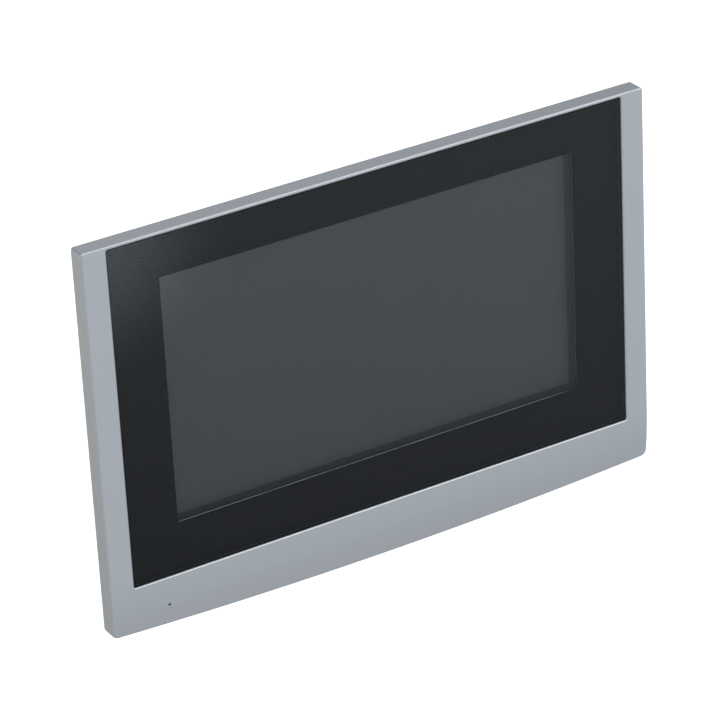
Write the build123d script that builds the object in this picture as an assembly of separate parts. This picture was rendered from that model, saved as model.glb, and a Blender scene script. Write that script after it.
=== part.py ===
"""Wall-hung video intercom monitor with a 7-inch touch display.

Frame: millimetres. +X is to the right as seen by someone facing the screen, +Z is up and +Y goes
into the wall. The origin is the centre of the wall bracket's screw pattern, on the wall plane.
"""

import math
import os

from build123d import *

# ---------------------------------------------------------------- driving sizes
# Silver front frame
frame_width = 212.0
frame_height = 143.0
bottom_sag = 3.2  # how far the bottom edge bows down between its corners
chin_drop = 1.6  # how far the bottom edge lies behind the flat front face
frame_wall = 2.0
top_strip = 1.3  # frame above the glass
top_corner_radius = 1.0
bottom_corner_radius = 2.5
front_edge_radius = 0.7
inner_corner_radius = 0.5

# Behind the screen
part_clearance = 0.2  # tallest part behind the board to the rear cover
wall_gap = 0.5  # rear cover to the wall
root_depth = 0.5  # how far a boss or a wall reaches into the wall it stands on

# Cover glass, its printed border and its tape
glass_width = 194.0
glass_height = 121.5
glass_thickness = 1.8
glass_inset = 0.4  # how far the glass lies below the frame's face
glass_gap = 0.15
glass_corner_radius = 0.8
chin_start_drop = 0.6  # the chin begins to curve back this far below the glass
glass_edge_chamfer = 0.2
recess_edge_chamfer = 0.3
window_width = 156.7
window_height = 88.5
window_rise = 0.9  # window centre above the glass centre
border_thickness = 0.1
tape_width = 6.0
tape_thickness = 0.4
tape_margin = 1.0
shelf_thickness = 1.5
recess_wall = 1.8
opening_margin = 1.7  # frame opening outside the window

# Touch sensor and display panel
sensor_clearance = 0.3
sensor_thickness = 0.7
panel_width = 164.9
panel_height = 100.0
panel_depth = 5.0
panel_layer_inset = 2.0  # films and light guide inside the panel's outline
gasket_thickness = 0.9
gasket_inset = 0.5
gasket_setback = 0.2  # gasket's inner edge outside the frame's opening
sheet_steel = 0.3
bezel_reveal = 0.15  # bezel lip's edge inside the frame's opening
bezel_skirt = 3.7
cell_thickness = 1.4
film_thickness = 0.5
guide_thickness = 2.0
panel_clearance = 0.2  # between the panel's own layers and its walls
led_board_thickness = 0.8
led_size = 1.0
led_count = 21
led_length = 3.2
led_end = 4.0
led_recess = 0.4  # lamps inside the light guide's two faces
led_board_recess = 0.1
led_board_end = 1.0
flex_thickness = 0.2
flex_bend = 0.6
flex_gap = 0.05  # flat cable to its socket, all round
display_flex_width = 30.0
display_flex_x = 10.0
touch_flex_width = 8.0
touch_flex_x = -40.0
flex_slot_height = 1.8
flex_side_gap = 0.6
flex_socket_height = 3.6
flex_socket_rise = 8.05  # sockets above the panel's lower edge
flex_socket_end = 1.6
flex_insertion = 3.0
flex_drop = 0.9  # how far below the panel the display's flat cable turns
touch_slot_drop = 1.2  # touch cable's slot below the panel's gasket

# Rear cover
cover_wall = 2.0
cover_inset_side = 9.0  # housing inside the frame's outline
cover_inset_top = 8.0
cover_inset_bottom = 10.0
cover_corner_radius = 8.0
cover_edge_radius = 1.2
flange_thickness = 1.5
flange_clearance = 0.3
chin_step_height = 19.5  # lower strip of the housing that stands off the wall
chin_step_depth = 4.0
vent_width = 2.0
vent_length = 11.0
vent_pitch = 5.0
vent_count = 21
vent_centre_z = 50.0
cut_margin = 0.1  # how far a cut runs past the face it comes out of
pad_diameter = 8.0
pad_thickness = 0.4
pad_rows = (38.0, -34.0)

# Wall bracket
bracket_width = 110.0
bracket_height = 70.0
bracket_thickness = 1.2
bracket_corner_radius = 4.0
bracket_clearance = 0.3
cable_hole_width = 46.0
cable_hole_height = 34.0
wall_screw_spacing_x = 72.0
wall_screw_spacing_z = 56.0
wall_screw_hole = 4.4
box_screw_spacing = 60.0
box_slot_length = 8.0
hook_spacing_x = 90.0
hook_spacing_z = 44.0
hook_width = 8.0
hook_tip = 5.0
hook_play = 0.6  # hook tip to the recess floor it holds
hook_rest_gap = 0.3
hook_slot_side = 1.0
hook_slot_spare = 1.0
hook_window_side = 0.4
hook_window_spare = 3.0
cable_hole_radius = 2.0
lift_travel = 6.0

# Main board
board_thickness = 1.6
board_gap = 1.8  # display panel to board
board_half_width = 74.0
board_top = 50.0
board_bottom = -32.0
board_corner_radius = 2.0
board_screw_inset = 6.0
board_screw_diameter = 2.5
board_screw_length = 5.2
board_head_diameter = 4.8
board_head_height = 1.2
boss_diameter = 6.4
screw_clearance = 0.05  # radial, screw to its threaded hole
screw_free_clearance = 0.2  # radial, screw to a hole it passes through
screw_tip_room = 0.2

# Screw heads, as shares of their diameter or height
head_rounding = 0.3
cross_length = 0.6
cross_width = 0.14
cross_depth = 0.5

# Board parts: place across and up, width, height and depth
processor_place = (-8.0, 27.0)
processor_size = (14.0, 14.0, 1.2)
memory_x = 10.0
memory_rows = (22.0, 32.0)
memory_size = (11.0, 8.0, 1.0)
radio_place = (-30.0, 32.0)
radio_size = (16.0, 12.0, 2.0)
inductor_x = 30.0
inductor_rows = (20.0, 28.0, 36.0)
inductor_size = (6.0, 6.0, 2.6)
capacitor_x = -66.0
capacitor_rows = (16.0, 8.0, 0.0, -8.0)
capacitor_diameter = 6.3
capacitor_height = 3.2
chip_columns = (-18.2, 1.4, 18.4)
chip_rows = 8
chip_first_z = 19.0
chip_pitch = 2.2
chip_size = (1.2, 0.7, 0.6)
battery_x = -62.0
battery_z = 34.0
battery_diameter = 12.5
battery_thickness = 2.0
battery_rounding = 0.3
package_chamfer = 0.2
can_rounding = 0.5
inductor_chamfer = 1.2
holder_wall = 1.2
holder_gap = 0.05
holder_floor = 0.4
holder_height = 2.0

# Connector bay
header_depth = 4.8
header_length = 7.6
header_pitch = 2.0
header_end = 3.9  # body width beyond the pins' span
header_gap = 1.6
header_wall = 0.7
header_pins_each = (4, 4, 4, 2)
pin_size = 0.5
bay_wall = 1.2
bay_gap = 0.3
bay_height = 30.0
bay_above_centre = 13.0
bay_header_gap = 1.0
header_back_wall = 1.2
pin_reach = 4.9
flex_socket_depth = 1.4

# Switches
switch_column_x = 66.0
dip_centre_z = -6.0
dip_count = 4
dip_pitch = 2.54
dip_end = 1.4
dip_body_height = 9.6
dip_body_depth = 4.4
dip_travel = 1.6
dip_slider_width = 1.1
dip_slider_height = 1.2
dip_slider_proud = 0.9
dip_slider_root = 1.4
dip_slider_chamfer = 0.15
running_gap = 0.05
window_gap = 0.4  # switch body to the cover's window
reset_centre_z = -18.0
reset_body = 6.0
reset_depth = 2.3
reset_plunger_diameter = 3.0
reset_plunger_proud = 1.0
reset_plunger_root = 1.0
reset_bore_spare = 0.4  # room below the plunger, more than its travel
reset_plunger_rounding = 0.25
reset_travel = 0.25
reset_pinhole = 2.0

# Memory card
card_centre_z = 13.0
card_length = 15.0
card_width = 11.0
card_thickness = 0.8
card_neck = 9.7
card_neck_length = 6.4
card_reveal = 1.0  # card's edge below the housing's side face
card_push = 0.8
card_gap = 0.4  # card to the slot in the housing
card_side_gap = 0.1  # card to its socket
card_thumb_inset = 1.2
card_thumb_width = 0.6
card_thumb_depth = 0.15
socket_wall = 0.4
socket_side = 1.6
socket_end_room = 1.2
tongue_margin = 1.6

# Speaker and microphone
speaker_x = 62.0
speaker_width = 40.0
speaker_height = 16.6
speaker_edge_gap = 0.6
basket_depth = 5.1
basket_wall = 1.8
basket_floor = 1.0
magnet_diameter = 13.0
magnet_depth = 4.8
magnet_gap_width = 1.3
coil_diameter = 8.6
coil_wall = 0.3
coil_length = 2.6
coil_spare = 0.5
cone_thickness = 0.3
cone_travel = 0.8
cone_depth_below_rim = 1.0
cone_gap = 0.3
surround_width = 1.1
surround_back = 0.2
surround_front = 0.1
speaker_gasket_thickness = 0.8
grille_slot_width = 1.5
grille_slot_length = 9.0
grille_pitch = 3.4
grille_count = 10
microphone_x = -84.6
microphone_rise = 9.7  # above the frame's lowest edge
microphone_diameter = 4.0
microphone_depth = 1.5
microphone_hole = 1.0
boot_diameter = 6.0
boot_depth = 2.1
boot_front = 0.6
boot_back_gap = 0.3
boot_seat_wall = 1.0
lead_diameter = 1.2
lead_gap = 0.1
lead_bend_share = 0.45
lead_socket_rise = 2.4  # above the board's lower edge
lead_socket_width = 5.0
lead_socket_height = 4.0
lead_socket_depth = 2.8
lead_height = 1.5  # lead's centre off the board, at its socket
speaker_socket_x = 30.0
speaker_lead_offset = 12.0
microphone_socket_x = -56.0

# Rear screws and panel clamps
rear_screw_diameter = 3.0
rear_screw_length = 7.5
rear_head_diameter = 5.6
rear_head_height = 2.0
rear_corner_inset = 7.5  # top corner screws, in from the housing's side
rear_lower_inset = 11.5  # side screws above the housing's lower edge
rear_middle_inset = 6.0  # middle screws above the housing's lower edge
rear_middle_x = 34.0
rear_top_inset = 6.5
well_diameter = 8.6
well_wall = 1.6
well_floor = 2.0
clamp_offset = 5.0  # clamp boss outside the panel
clamp_rows = (35.0, -15.0)
clamp_thickness = 0.8
clamp_width = 9.0
clamp_grip = 4.0
clamp_end = 3.2
clamp_corner_radius = 1.0
clamp_screw_diameter = 2.2
clamp_screw_length = 4.5
clamp_head_diameter = 4.2
clamp_head_height = 1.1

# ---------------------------------------------------------------- derived places
half_width = frame_width / 2
frame_top = frame_height / 2
frame_bottom = -frame_height / 2
bow_radius = (half_width**2 + bottom_sag**2) / (2 * bottom_sag)

glass_top = frame_top - top_strip
glass_centre_z = glass_top - glass_height / 2
glass_bottom = glass_top - glass_height
window_z = glass_centre_z + window_rise
opening_width = window_width + 2 * opening_margin
opening_height = window_height + 2 * opening_margin
chin_start = glass_bottom - chin_start_drop
chin_height = chin_start - frame_bottom
chin_radius = (chin_height**2 + chin_drop**2) / (2 * chin_drop)

microphone_z = frame_bottom + microphone_rise
boot_low = chin_start - microphone_z + boot_diameter / 2
boot_drop = chin_radius - math.sqrt(chin_radius**2 - boot_low**2)
rim_depth = frame_wall + boot_drop + boot_depth + boot_back_gap + flange_thickness

wiring_depth = bracket_thickness + bracket_clearance + cover_wall + part_clearance + lead_socket_depth
stack_depth = glass_inset + glass_thickness + border_thickness + tape_thickness + shelf_thickness
stack_depth += gasket_thickness + panel_depth + board_gap + board_thickness
front_y = -wiring_depth - stack_depth
inner_front_y = front_y + frame_wall
rim_back_y = front_y + rim_depth
flange_front_y = rim_back_y - flange_thickness
glass_front_y = front_y + glass_inset
glass_back_y = glass_front_y + glass_thickness
border_back_y = glass_back_y + border_thickness
shelf_front_y = border_back_y + tape_thickness
shelf_back_y = shelf_front_y + shelf_thickness
panel_front_y = shelf_back_y + gasket_thickness
cell_front_y = panel_front_y + sheet_steel
cell_back_y = cell_front_y + cell_thickness
film_back_y = cell_back_y + film_thickness
guide_back_y = film_back_y + guide_thickness
panel_back_y = panel_front_y + panel_depth
board_front_y = panel_back_y + board_gap
board_back_y = board_front_y + board_thickness
cover_back_y = -wall_gap
cover_inner_y = cover_back_y - cover_wall
recess_floor_y = -bracket_thickness - bracket_clearance
recess_inner_y = recess_floor_y - cover_wall
chin_back_y = cover_back_y - chin_step_depth
chin_inner_y = chin_back_y - cover_wall
boss_top_y = panel_back_y + sheet_steel
rear_seat_y = boss_top_y + well_floor
hook_back_y = recess_inner_y - hook_play
hook_front_y = hook_back_y - bracket_thickness

cover_half_width = half_width - cover_inset_side
cover_top = frame_top - cover_inset_top
cover_bottom = frame_bottom + cover_inset_bottom
chin_step_top = cover_bottom + chin_step_height
panel_bottom = window_z - panel_height / 2
panel_side = panel_width / 2
strip_bottom = panel_bottom + panel_layer_inset + panel_clearance
lamp_top = strip_bottom + led_board_thickness + led_size
touch_slot_z = panel_bottom - gasket_thickness - touch_slot_drop
flex_back_y = board_front_y - board_gap / 2
flex_socket_z = panel_bottom + flex_socket_rise

recess_half_width = bracket_width / 2 + bracket_clearance
recess_top = bracket_height / 2 + bracket_clearance
slot_half_width = hook_width / 2 + hook_slot_side
slot_height = lift_travel + bracket_thickness + hook_slot_spare
hook_x = (hook_spacing_x / 2, -hook_spacing_x / 2)
hook_z = (hook_spacing_z / 2, -hook_spacing_z / 2)
bay_top = bay_above_centre
bay_bottom = bay_above_centre - bay_height
header_top = bay_top - bay_header_gap

board_screw_x = board_half_width - board_screw_inset
board_screw_z = (board_top - board_screw_inset, board_bottom + board_screw_inset)
dip_body_width = dip_count * dip_pitch + dip_end
card_outer_x = cover_half_width - card_reveal
card_inner_x = card_outer_x - card_length
card_centre_y = board_back_y + socket_wall + card_side_gap + card_thickness / 2
socket_depth = 2 * (card_centre_y - board_back_y)
socket_half_height = card_width / 2 + socket_side
tongue_end_x = cover_half_width - cover_wall - tongue_margin
socket_outer_x = tongue_end_x
socket_inner_x = card_inner_x - card_push - socket_end_room

speaker_back_y = chin_inner_y - speaker_gasket_thickness
speaker_front_y = speaker_back_y - basket_depth
speaker_z = cover_bottom + cover_wall + speaker_edge_gap + speaker_height / 2
cone_back_y = speaker_back_y - cone_depth_below_rim
magnet_back_y = speaker_back_y - basket_depth / 2
magnet_front_y = magnet_back_y - magnet_depth
lead_socket_z = board_bottom + lead_socket_rise
boot_back_y = flange_front_y - boot_back_gap
boot_front_y = boot_back_y - boot_depth

rear_corner_x = cover_half_width - rear_corner_inset
rear_screw_points = [(side * rear_corner_x, cover_top - rear_top_inset) for side in (1, -1)]
rear_screw_points += [(side * rear_corner_x, cover_bottom + rear_lower_inset) for side in (1, -1)]
rear_screw_points += [(side * rear_middle_x, cover_bottom + rear_middle_inset) for side in (1, -1)]
clamp_points = [(side * (panel_side + clamp_offset), z) for side in (1, -1) for z in clamp_rows]
board_screw_points = [(side * board_screw_x, z) for side in (1, -1) for z in board_screw_z]


# ---------------------------------------------------------------- shape helpers
def slab(outline, back, front):
    """A flat outline, drawn in X and Z, made solid between two Y values."""
    return extrude(Plane.XZ.offset(-back) * outline, amount=back - front)


def at(x, z, outline):
    return Pos(x, z) * outline


def block(x_range, z_range, back, front):
    x0, x1 = x_range
    z0, z1 = z_range
    return slab(at((x0 + x1) / 2, (z0 + z1) / 2, Rectangle(x1 - x0, z1 - z0)), back, front)


def span(centre, size):
    return centre - size / 2, centre + size / 2


def rod(x, z, diameter, back, front):
    return slab(at(x, z, Circle(diameter / 2)), back, front)


def tube(x, z, outer, inner, back, front):
    return slab(at(x, z, Circle(outer / 2) - Circle(inner / 2)), back, front)


def bowed_outline(inset, top_radius, bottom_radius):
    """The frame's outline, moved inwards: straight top and sides, and a bottom edge that bows down."""
    side = half_width - inset
    top = frame_top - inset
    radius = bow_radius - inset
    centre_z = frame_bottom + bow_radius
    corner_z = centre_z - math.sqrt(radius**2 - side**2)
    lines = Polyline((-side, corner_z), (-side, top), (side, top), (side, corner_z))
    bow = ThreePointArc((side, corner_z), (0, centre_z - radius), (-side, corner_z))
    outline = make_face([*lines.edges(), *bow.edges()])
    outline = fillet([v for v in outline.vertices() if v.Y > 0], top_radius)
    return fillet([v for v in outline.vertices() if v.Y < 0], bottom_radius)


def behind_front_face(depth):
    """All the space at least depth behind the frame's front face, whose chin curves back."""
    far = 10.0
    radius = chin_radius - depth
    face_y = front_y + depth
    sweep = math.asin((chin_start - frame_bottom + far / 2) / radius)
    turns = (sweep / 2, sweep)
    ends = [(face_y + radius * (1 - math.cos(a)), chin_start - radius * math.sin(a)) for a in turns]
    low_z = ends[1][1]
    top_z = frame_top + far
    lines = Polyline(ends[1], (far, low_z), (far, top_z), (face_y, top_z), (face_y, chin_start))
    chin = ThreePointArc((face_y, chin_start), ends[0], ends[1])
    return extrude(Plane.YZ * make_face([*lines.edges(), *chin.edges()]), amount=frame_width, both=True)


def screw(x, z, diameter, length, head_diameter, head_height, seat_y, way):
    """A cross-head screw. Its head stands on seat_y; way is +1 when the head is on the wall side."""
    shank_end = seat_y - way * length
    head_end = seat_y + way * head_height
    shank = rod(x, z, diameter, max(seat_y, shank_end), min(seat_y, shank_end))
    head = rod(x, z, head_diameter, max(seat_y, head_end), min(seat_y, head_end))
    head = fillet(head.edges().group_by(Axis.Y)[-1 if way > 0 else 0], head_height * head_rounding)
    arm = Rectangle(head_diameter * cross_length, head_diameter * cross_width)
    cross = arm + Rot(0, 0, 90) * arm
    slot_end = head_end - way * head_height * cross_depth
    return shank + head - slab(at(x, z, cross), max(head_end, slot_end), min(head_end, slot_end))


def flat_cable(points, x_centre, width):
    """A thin flat cable along (y, z) points, with rounded bends."""
    path = FilletPolyline(*points, radius=flex_bend)
    ribbon = trace(path, flex_thickness)
    return Pos(x_centre - width / 2, 0, 0) * extrude(Plane.YZ * ribbon, amount=width)


def lead(points):
    """A round lead through points in space, its bends as large as its runs allow."""
    radii = []
    for before, corner, after in zip(points, points[1:], points[2:]):
        run_in = Vector(corner) - Vector(before)
        run_out = Vector(after) - Vector(corner)
        turn = math.radians(run_in.get_angle(run_out))
        radii.append(lead_bend_share * min(run_in.length, run_out.length) / math.tan(turn / 2))
    path = FilletPolyline(*points, radius=radii)
    print("lead bends:", [round(r, 1) for r in radii])
    section = Plane(path @ 0, z_dir=path % 0) * Circle(lead_diameter / 2)
    return sweep(section, path=path)


# ---------------------------------------------------------------- front of the monitor
def front_frame():
    body = slab(bowed_outline(0, top_corner_radius, bottom_corner_radius), rim_back_y, front_y - 1)
    body &= behind_front_face(0)
    outer = body
    rim = [e for e in body.edges() if e.bounding_box().max.Y < front_y + chin_drop + 1]
    body = fillet(rim, front_edge_radius)
    hollow = slab(bowed_outline(frame_wall, inner_corner_radius, inner_corner_radius), rim_back_y, front_y)
    body -= hollow & behind_front_face(frame_wall)
    tray_width = glass_width + 2 * (glass_gap + recess_wall)
    tray_height = glass_height + 2 * (glass_gap + recess_wall)
    tray_outline = at(0, glass_centre_z, Rectangle(tray_width, tray_height))
    tray = slab(tray_outline, shelf_back_y, inner_front_y - root_depth)
    body += tray & outer
    for x, z in rear_screw_points:
        body += rod(x, z, boss_diameter, boss_top_y, inner_front_y - root_depth)
    for x, z in clamp_points:
        body += rod(x, z, boss_diameter, panel_back_y, shelf_front_y)
    seat_diameter = boot_diameter + 2 * boot_seat_wall
    body += rod(microphone_x, microphone_z, seat_diameter, boot_front_y, inner_front_y - root_depth)
    pocket = RectangleRounded(glass_width + 2 * glass_gap, glass_height + 2 * glass_gap, glass_corner_radius)
    body -= slab(at(0, glass_centre_z, pocket), shelf_front_y, front_y - 1)
    opening = RectangleRounded(opening_width, opening_height, inner_corner_radius)
    body -= slab(at(0, window_z, opening), shelf_back_y, shelf_front_y)
    body -= touch_flex_slot()
    for x, z in rear_screw_points:
        tip = rear_seat_y - rear_screw_length - screw_tip_room
        body -= rod(x, z, rear_screw_diameter + 2 * screw_clearance, boss_top_y, tip)
    for x, z in clamp_points:
        tip = panel_back_y + clamp_thickness - clamp_screw_length - screw_tip_room
        body -= rod(x, z, clamp_screw_diameter + 2 * screw_clearance, panel_back_y, tip)
    body -= rod(microphone_x, microphone_z, microphone_hole, boot_front_y, front_y - 1)
    near = glass_gap + recess_edge_chamfer
    face_edges = body.edges().filter_by_position(Axis.Y, front_y - glass_gap, front_y + glass_gap)
    mouth = [e for e in face_edges if abs(e.center().X) < glass_width / 2 + near]
    mouth = [e for e in mouth if glass_bottom - near < e.center().Z < glass_top + near]
    return chamfer(mouth, recess_edge_chamfer)


def touch_flex_slot():
    """The slot in the glass shelf that the touch sensor's flat cable goes back through."""
    width = touch_flex_width + 2 * flex_side_gap
    height = flex_slot_height
    return block(span(touch_flex_x, width), span(touch_slot_z, height), shelf_back_y, shelf_front_y)


def cover_glass():
    outline = RectangleRounded(glass_width, glass_height, glass_corner_radius)
    glass = slab(at(0, glass_centre_z, outline), glass_back_y, glass_front_y)
    return chamfer(glass.edges().group_by(Axis.Y)[0], glass_edge_chamfer)


def glass_border():
    outline = at(0, glass_centre_z, RectangleRounded(glass_width, glass_height, glass_corner_radius))
    window = at(0, window_z, RectangleRounded(window_width, window_height, inner_corner_radius))
    return slab(outline - window, border_back_y, glass_back_y)


def glass_tape():
    width = glass_width - 2 * tape_margin
    height = glass_height - 2 * tape_margin
    inner_width = width - 2 * tape_width
    inner_height = height - 2 * tape_width
    ring = at(0, glass_centre_z, Rectangle(width, height) - Rectangle(inner_width, inner_height))
    return slab(ring, shelf_front_y, border_back_y)


def touch_sensor():
    width = opening_width - 2 * sensor_clearance
    height = opening_height - 2 * sensor_clearance
    return slab(at(0, window_z, Rectangle(width, height)), border_back_y + sensor_thickness, border_back_y)


def touch_flex():
    sensor_bottom = window_z - opening_height / 2 + sensor_clearance
    front = border_back_y + tape_thickness / 2
    points = [(front, sensor_bottom), (front, touch_slot_z), (flex_back_y, touch_slot_z),
              (flex_back_y, flex_socket_z + flex_insertion)]
    return flat_cable(points, touch_flex_x, touch_flex_width)


# ---------------------------------------------------------------- display panel
def panel_gasket():
    outer = Rectangle(panel_width - 2 * gasket_inset, panel_height - 2 * gasket_inset)
    inner = Rectangle(opening_width + 2 * gasket_setback, opening_height + 2 * gasket_setback)
    return slab(at(0, window_z, outer - inner), panel_front_y, shelf_back_y)


def panel_bezel():
    """The folded sheet-steel bezel: a front lip and a skirt all round, notched for the flat cable."""
    back = panel_front_y + bezel_skirt
    shell = layer(0, back, panel_front_y) - layer(sheet_steel, back, cell_front_y)
    lip = Rectangle(opening_width - 2 * bezel_reveal, opening_height - 2 * bezel_reveal)
    shell -= slab(at(0, window_z, lip), cell_front_y, panel_front_y)
    return shell - flex_notch(sheet_steel, back, cell_front_y)


def layer(inset, back, front):
    """One flat layer of the panel, inset from the panel's outline."""
    return slab(at(0, window_z, Rectangle(panel_width - 2 * inset, panel_height - 2 * inset)), back, front)


def flex_notch(wall, back, front):
    """The room that the display's flat cable needs in a wall along the panel's lower edge."""
    width = display_flex_width + 2 * flex_side_gap
    return block(span(display_flex_x, width), (panel_bottom - cut_margin, panel_bottom + wall), back, front)


def display_cell():
    return layer(sheet_steel + panel_clearance, cell_back_y, cell_front_y)


def diffuser_films():
    return layer(panel_layer_inset + panel_clearance, film_back_y, cell_back_y)


def light_guide():
    guide = layer(panel_layer_inset + panel_clearance, guide_back_y, film_back_y)
    lamp_room = block(span(0, panel_width), (panel_bottom, lamp_top), guide_back_y, film_back_y)
    return guide - lamp_room


def led_strip():
    """The lamp strip along the light guide's lower edge: a narrow board with its row of small lamps."""
    half = panel_side - panel_layer_inset - led_board_end
    strip_top = strip_bottom + led_board_thickness
    lamp_back_y = guide_back_y - led_recess
    lamp_front_y = film_back_y + led_recess
    strip = block((-half, half), (strip_bottom, strip_top), guide_back_y, film_back_y + led_board_recess)
    first = -half + led_end
    pitch = -2 * first / (led_count - 1)
    for i in range(led_count):
        x = first + i * pitch
        strip += block(span(x, led_length), (strip_top, lamp_top), lamp_back_y, lamp_front_y)
    return strip


def panel_tray():
    """The tray that holds the light guide from behind, inside the bezel's skirt."""
    tray = layer(sheet_steel + panel_clearance, panel_back_y, cell_back_y)
    tray -= layer(panel_layer_inset, guide_back_y, cell_back_y)
    return tray - flex_notch(sheet_steel + panel_clearance + flex_thickness, panel_back_y, cell_back_y)


def display_flex():
    cell_bottom = panel_bottom + sheet_steel + panel_clearance
    front = cell_front_y + cell_thickness / 2
    drop = panel_bottom - flex_drop
    points = [(front, cell_bottom), (front, drop), (flex_back_y, drop),
              (flex_back_y, flex_socket_z + flex_insertion)]
    return flat_cable(points, display_flex_x, display_flex_width)


def flex_sockets():
    """The two flat cables' sockets on the board's screen side, open downwards."""
    sockets = []
    z_range = (flex_socket_z, flex_socket_z + flex_socket_height)
    mouth_z = (flex_socket_z - cut_margin, flex_socket_z + flex_insertion + flex_gap)
    mouth_y = (flex_back_y + flex_thickness / 2 + flex_gap, flex_back_y - flex_thickness / 2 - flex_gap)
    for x, width in ((display_flex_x, display_flex_width), (touch_flex_x, touch_flex_width)):
        outside = span(x, width + 2 * flex_socket_end)
        body = block(outside, z_range, board_front_y, board_front_y - flex_socket_depth)
        sockets.append(body - block(span(x, width + 2 * flex_gap), mouth_z, *mouth_y))
    return Compound(sockets)


def panel_clamps():
    clamps = []
    for x, z in clamp_points:
        side = 1 if x > 0 else -1
        back = panel_back_y + clamp_thickness
        ends = sorted((side * (panel_side - clamp_grip), x + side * clamp_end))
        clamp = block(ends, span(z, clamp_width), back, panel_back_y)
        clamp = fillet(clamp.edges().filter_by(Axis.Y), clamp_corner_radius)
        clamps.append(clamp - rod(x, z, clamp_screw_diameter + 2 * screw_free_clearance, back, panel_back_y))
    return Compound(clamps)


def clamp_screws():
    sizes = (clamp_screw_diameter, clamp_screw_length, clamp_head_diameter, clamp_head_height)
    return Compound([screw(x, z, *sizes, panel_back_y + clamp_thickness, 1) for x, z in clamp_points])


# ---------------------------------------------------------------- rear cover
def housing_outline(inset):
    low = cover_bottom + inset
    high = cover_top - inset
    outline = RectangleRounded(2 * (cover_half_width - inset), high - low, cover_corner_radius - inset)
    return at(0, (low + high) / 2, outline)


def above(z, back, front):
    """Everything above a height, between two Y values."""
    return block((-half_width, half_width), (z, frame_top + 1), back, front)


def rear_cover():
    body = slab(housing_outline(0), cover_back_y, rim_back_y - root_depth)
    body -= block((-half_width, half_width), (frame_bottom, chin_step_top), cover_back_y, chin_back_y)
    rear_edges = [e for e in body.edges() if e.bounding_box().min.Y > chin_back_y - wall_gap]
    body = fillet(rear_edges, cover_edge_radius)
    radius = inner_corner_radius
    body += slab(bowed_outline(frame_wall + flange_clearance, radius, radius), rim_back_y, flange_front_y)
    upper = slab(housing_outline(cover_wall), cover_inner_y, chin_inner_y - root_depth)
    body -= slab(housing_outline(cover_wall), chin_inner_y, flange_front_y)
    body -= upper & above(chin_step_top + cover_wall, cover_inner_y, chin_inner_y - root_depth)
    body += recess_back()
    for x, z in rear_screw_points:
        body += rod(x, z, well_diameter + 2 * well_wall, chin_inner_y + root_depth, boss_top_y)
        if z > chin_step_top:
            body += rod(x, z, well_diameter + 2 * well_wall, cover_inner_y + root_depth, chin_inner_y)
    for x, z in board_screw_points:
        body += rod(x, z, boss_diameter, cover_inner_y + root_depth, board_back_y)
    body += bay_walls()
    body -= recess_cut()
    for x in hook_x:
        for z in hook_z:
            high = z + hook_rest_gap
            across = span(x, 2 * slot_half_width)
            body -= block(across, (high - slot_height, high), recess_floor_y, recess_inner_y)
    body -= block(span(0, cable_hole_width), (bay_bottom, bay_top), 0, board_back_y)
    for x, z in rear_screw_points:
        body -= rod(x, z, well_diameter, 0, rear_seat_y)
        body -= rod(x, z, rear_screw_diameter + 2 * screw_free_clearance, rear_seat_y, boss_top_y)
    for x, z in board_screw_points:
        tip = board_front_y + board_screw_length + screw_tip_room
        body -= rod(x, z, board_screw_diameter + 2 * screw_clearance, tip, board_back_y)
    body -= cover_openings()
    return body


def recess_back():
    """The raised floor inside the housing, behind the wall bracket's recess."""
    across = span(0, 2 * (recess_half_width + cover_wall))
    z_range = (chin_step_top + cover_wall - root_depth, recess_top + cover_wall)
    return block(across, z_range, cover_inner_y + root_depth, recess_inner_y)


def recess_cut():
    """The recess that takes the wall bracket, open towards the chin step so that the monitor can lift."""
    return block(span(0, 2 * recess_half_width), (chin_step_top - cut_margin, recess_top), 0, recess_floor_y)


def bay_walls():
    """The walls of the connector bay, from the recess floor almost to the board."""
    across = span(0, cable_hole_width + 2 * bay_wall)
    front = board_back_y + bay_gap
    return block(across, (bay_bottom - bay_wall, bay_top + bay_wall), recess_inner_y + root_depth, front)


def upright_slots(x_centre, z, count, pitch, slot, front):
    """A row of upright round-ended slots through a wall, from behind to front."""
    places = [x_centre + (i - (count - 1) / 2) * pitch for i in range(count)]
    return [slab(at(x, z, Rot(0, 0, 90) * slot), 0, front) for x in places]


def cover_openings():
    """Vents, speaker grille, switch window, reset hole and memory card slot."""
    through = cover_inner_y - cut_margin
    vent = SlotOverall(vent_length, vent_width)
    cuts = upright_slots(0, vent_centre_z, vent_count, vent_pitch, vent, through)
    slot = SlotOverall(grille_slot_length, grille_slot_width)
    chin_through = chin_inner_y - cut_margin
    cuts += upright_slots(speaker_x, speaker_z, grille_count, grille_pitch, slot, chin_through)
    width = dip_body_width + 2 * window_gap
    height = dip_body_height + 2 * window_gap
    cuts.append(block(span(switch_column_x, width), span(dip_centre_z, height), 0, through))
    cuts.append(rod(switch_column_x, reset_centre_z, reset_pinhole, 0, through))
    wall = (cover_half_width - cover_wall - cut_margin, cover_half_width + cut_margin)
    slot_front, slot_back = span(card_centre_y, card_thickness + 2 * card_gap)
    cuts.append(block(wall, span(card_centre_z, card_width + 2 * card_gap), slot_back, slot_front))
    return cuts


def rear_screws():
    sizes = (rear_screw_diameter, rear_screw_length, rear_head_diameter, rear_head_height)
    return Compound([screw(x, z, *sizes, rear_seat_y, 1) for x, z in rear_screw_points])


def wall_pads():
    """Thin rubber discs that keep the housing just off the wall."""
    x = cover_half_width - cover_corner_radius
    spots = [(side * x, z) for side in (1, -1) for z in pad_rows]
    back = cover_back_y + pad_thickness
    return Compound([rod(x, z, pad_diameter, back, cover_back_y) for x, z in spots])


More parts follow.
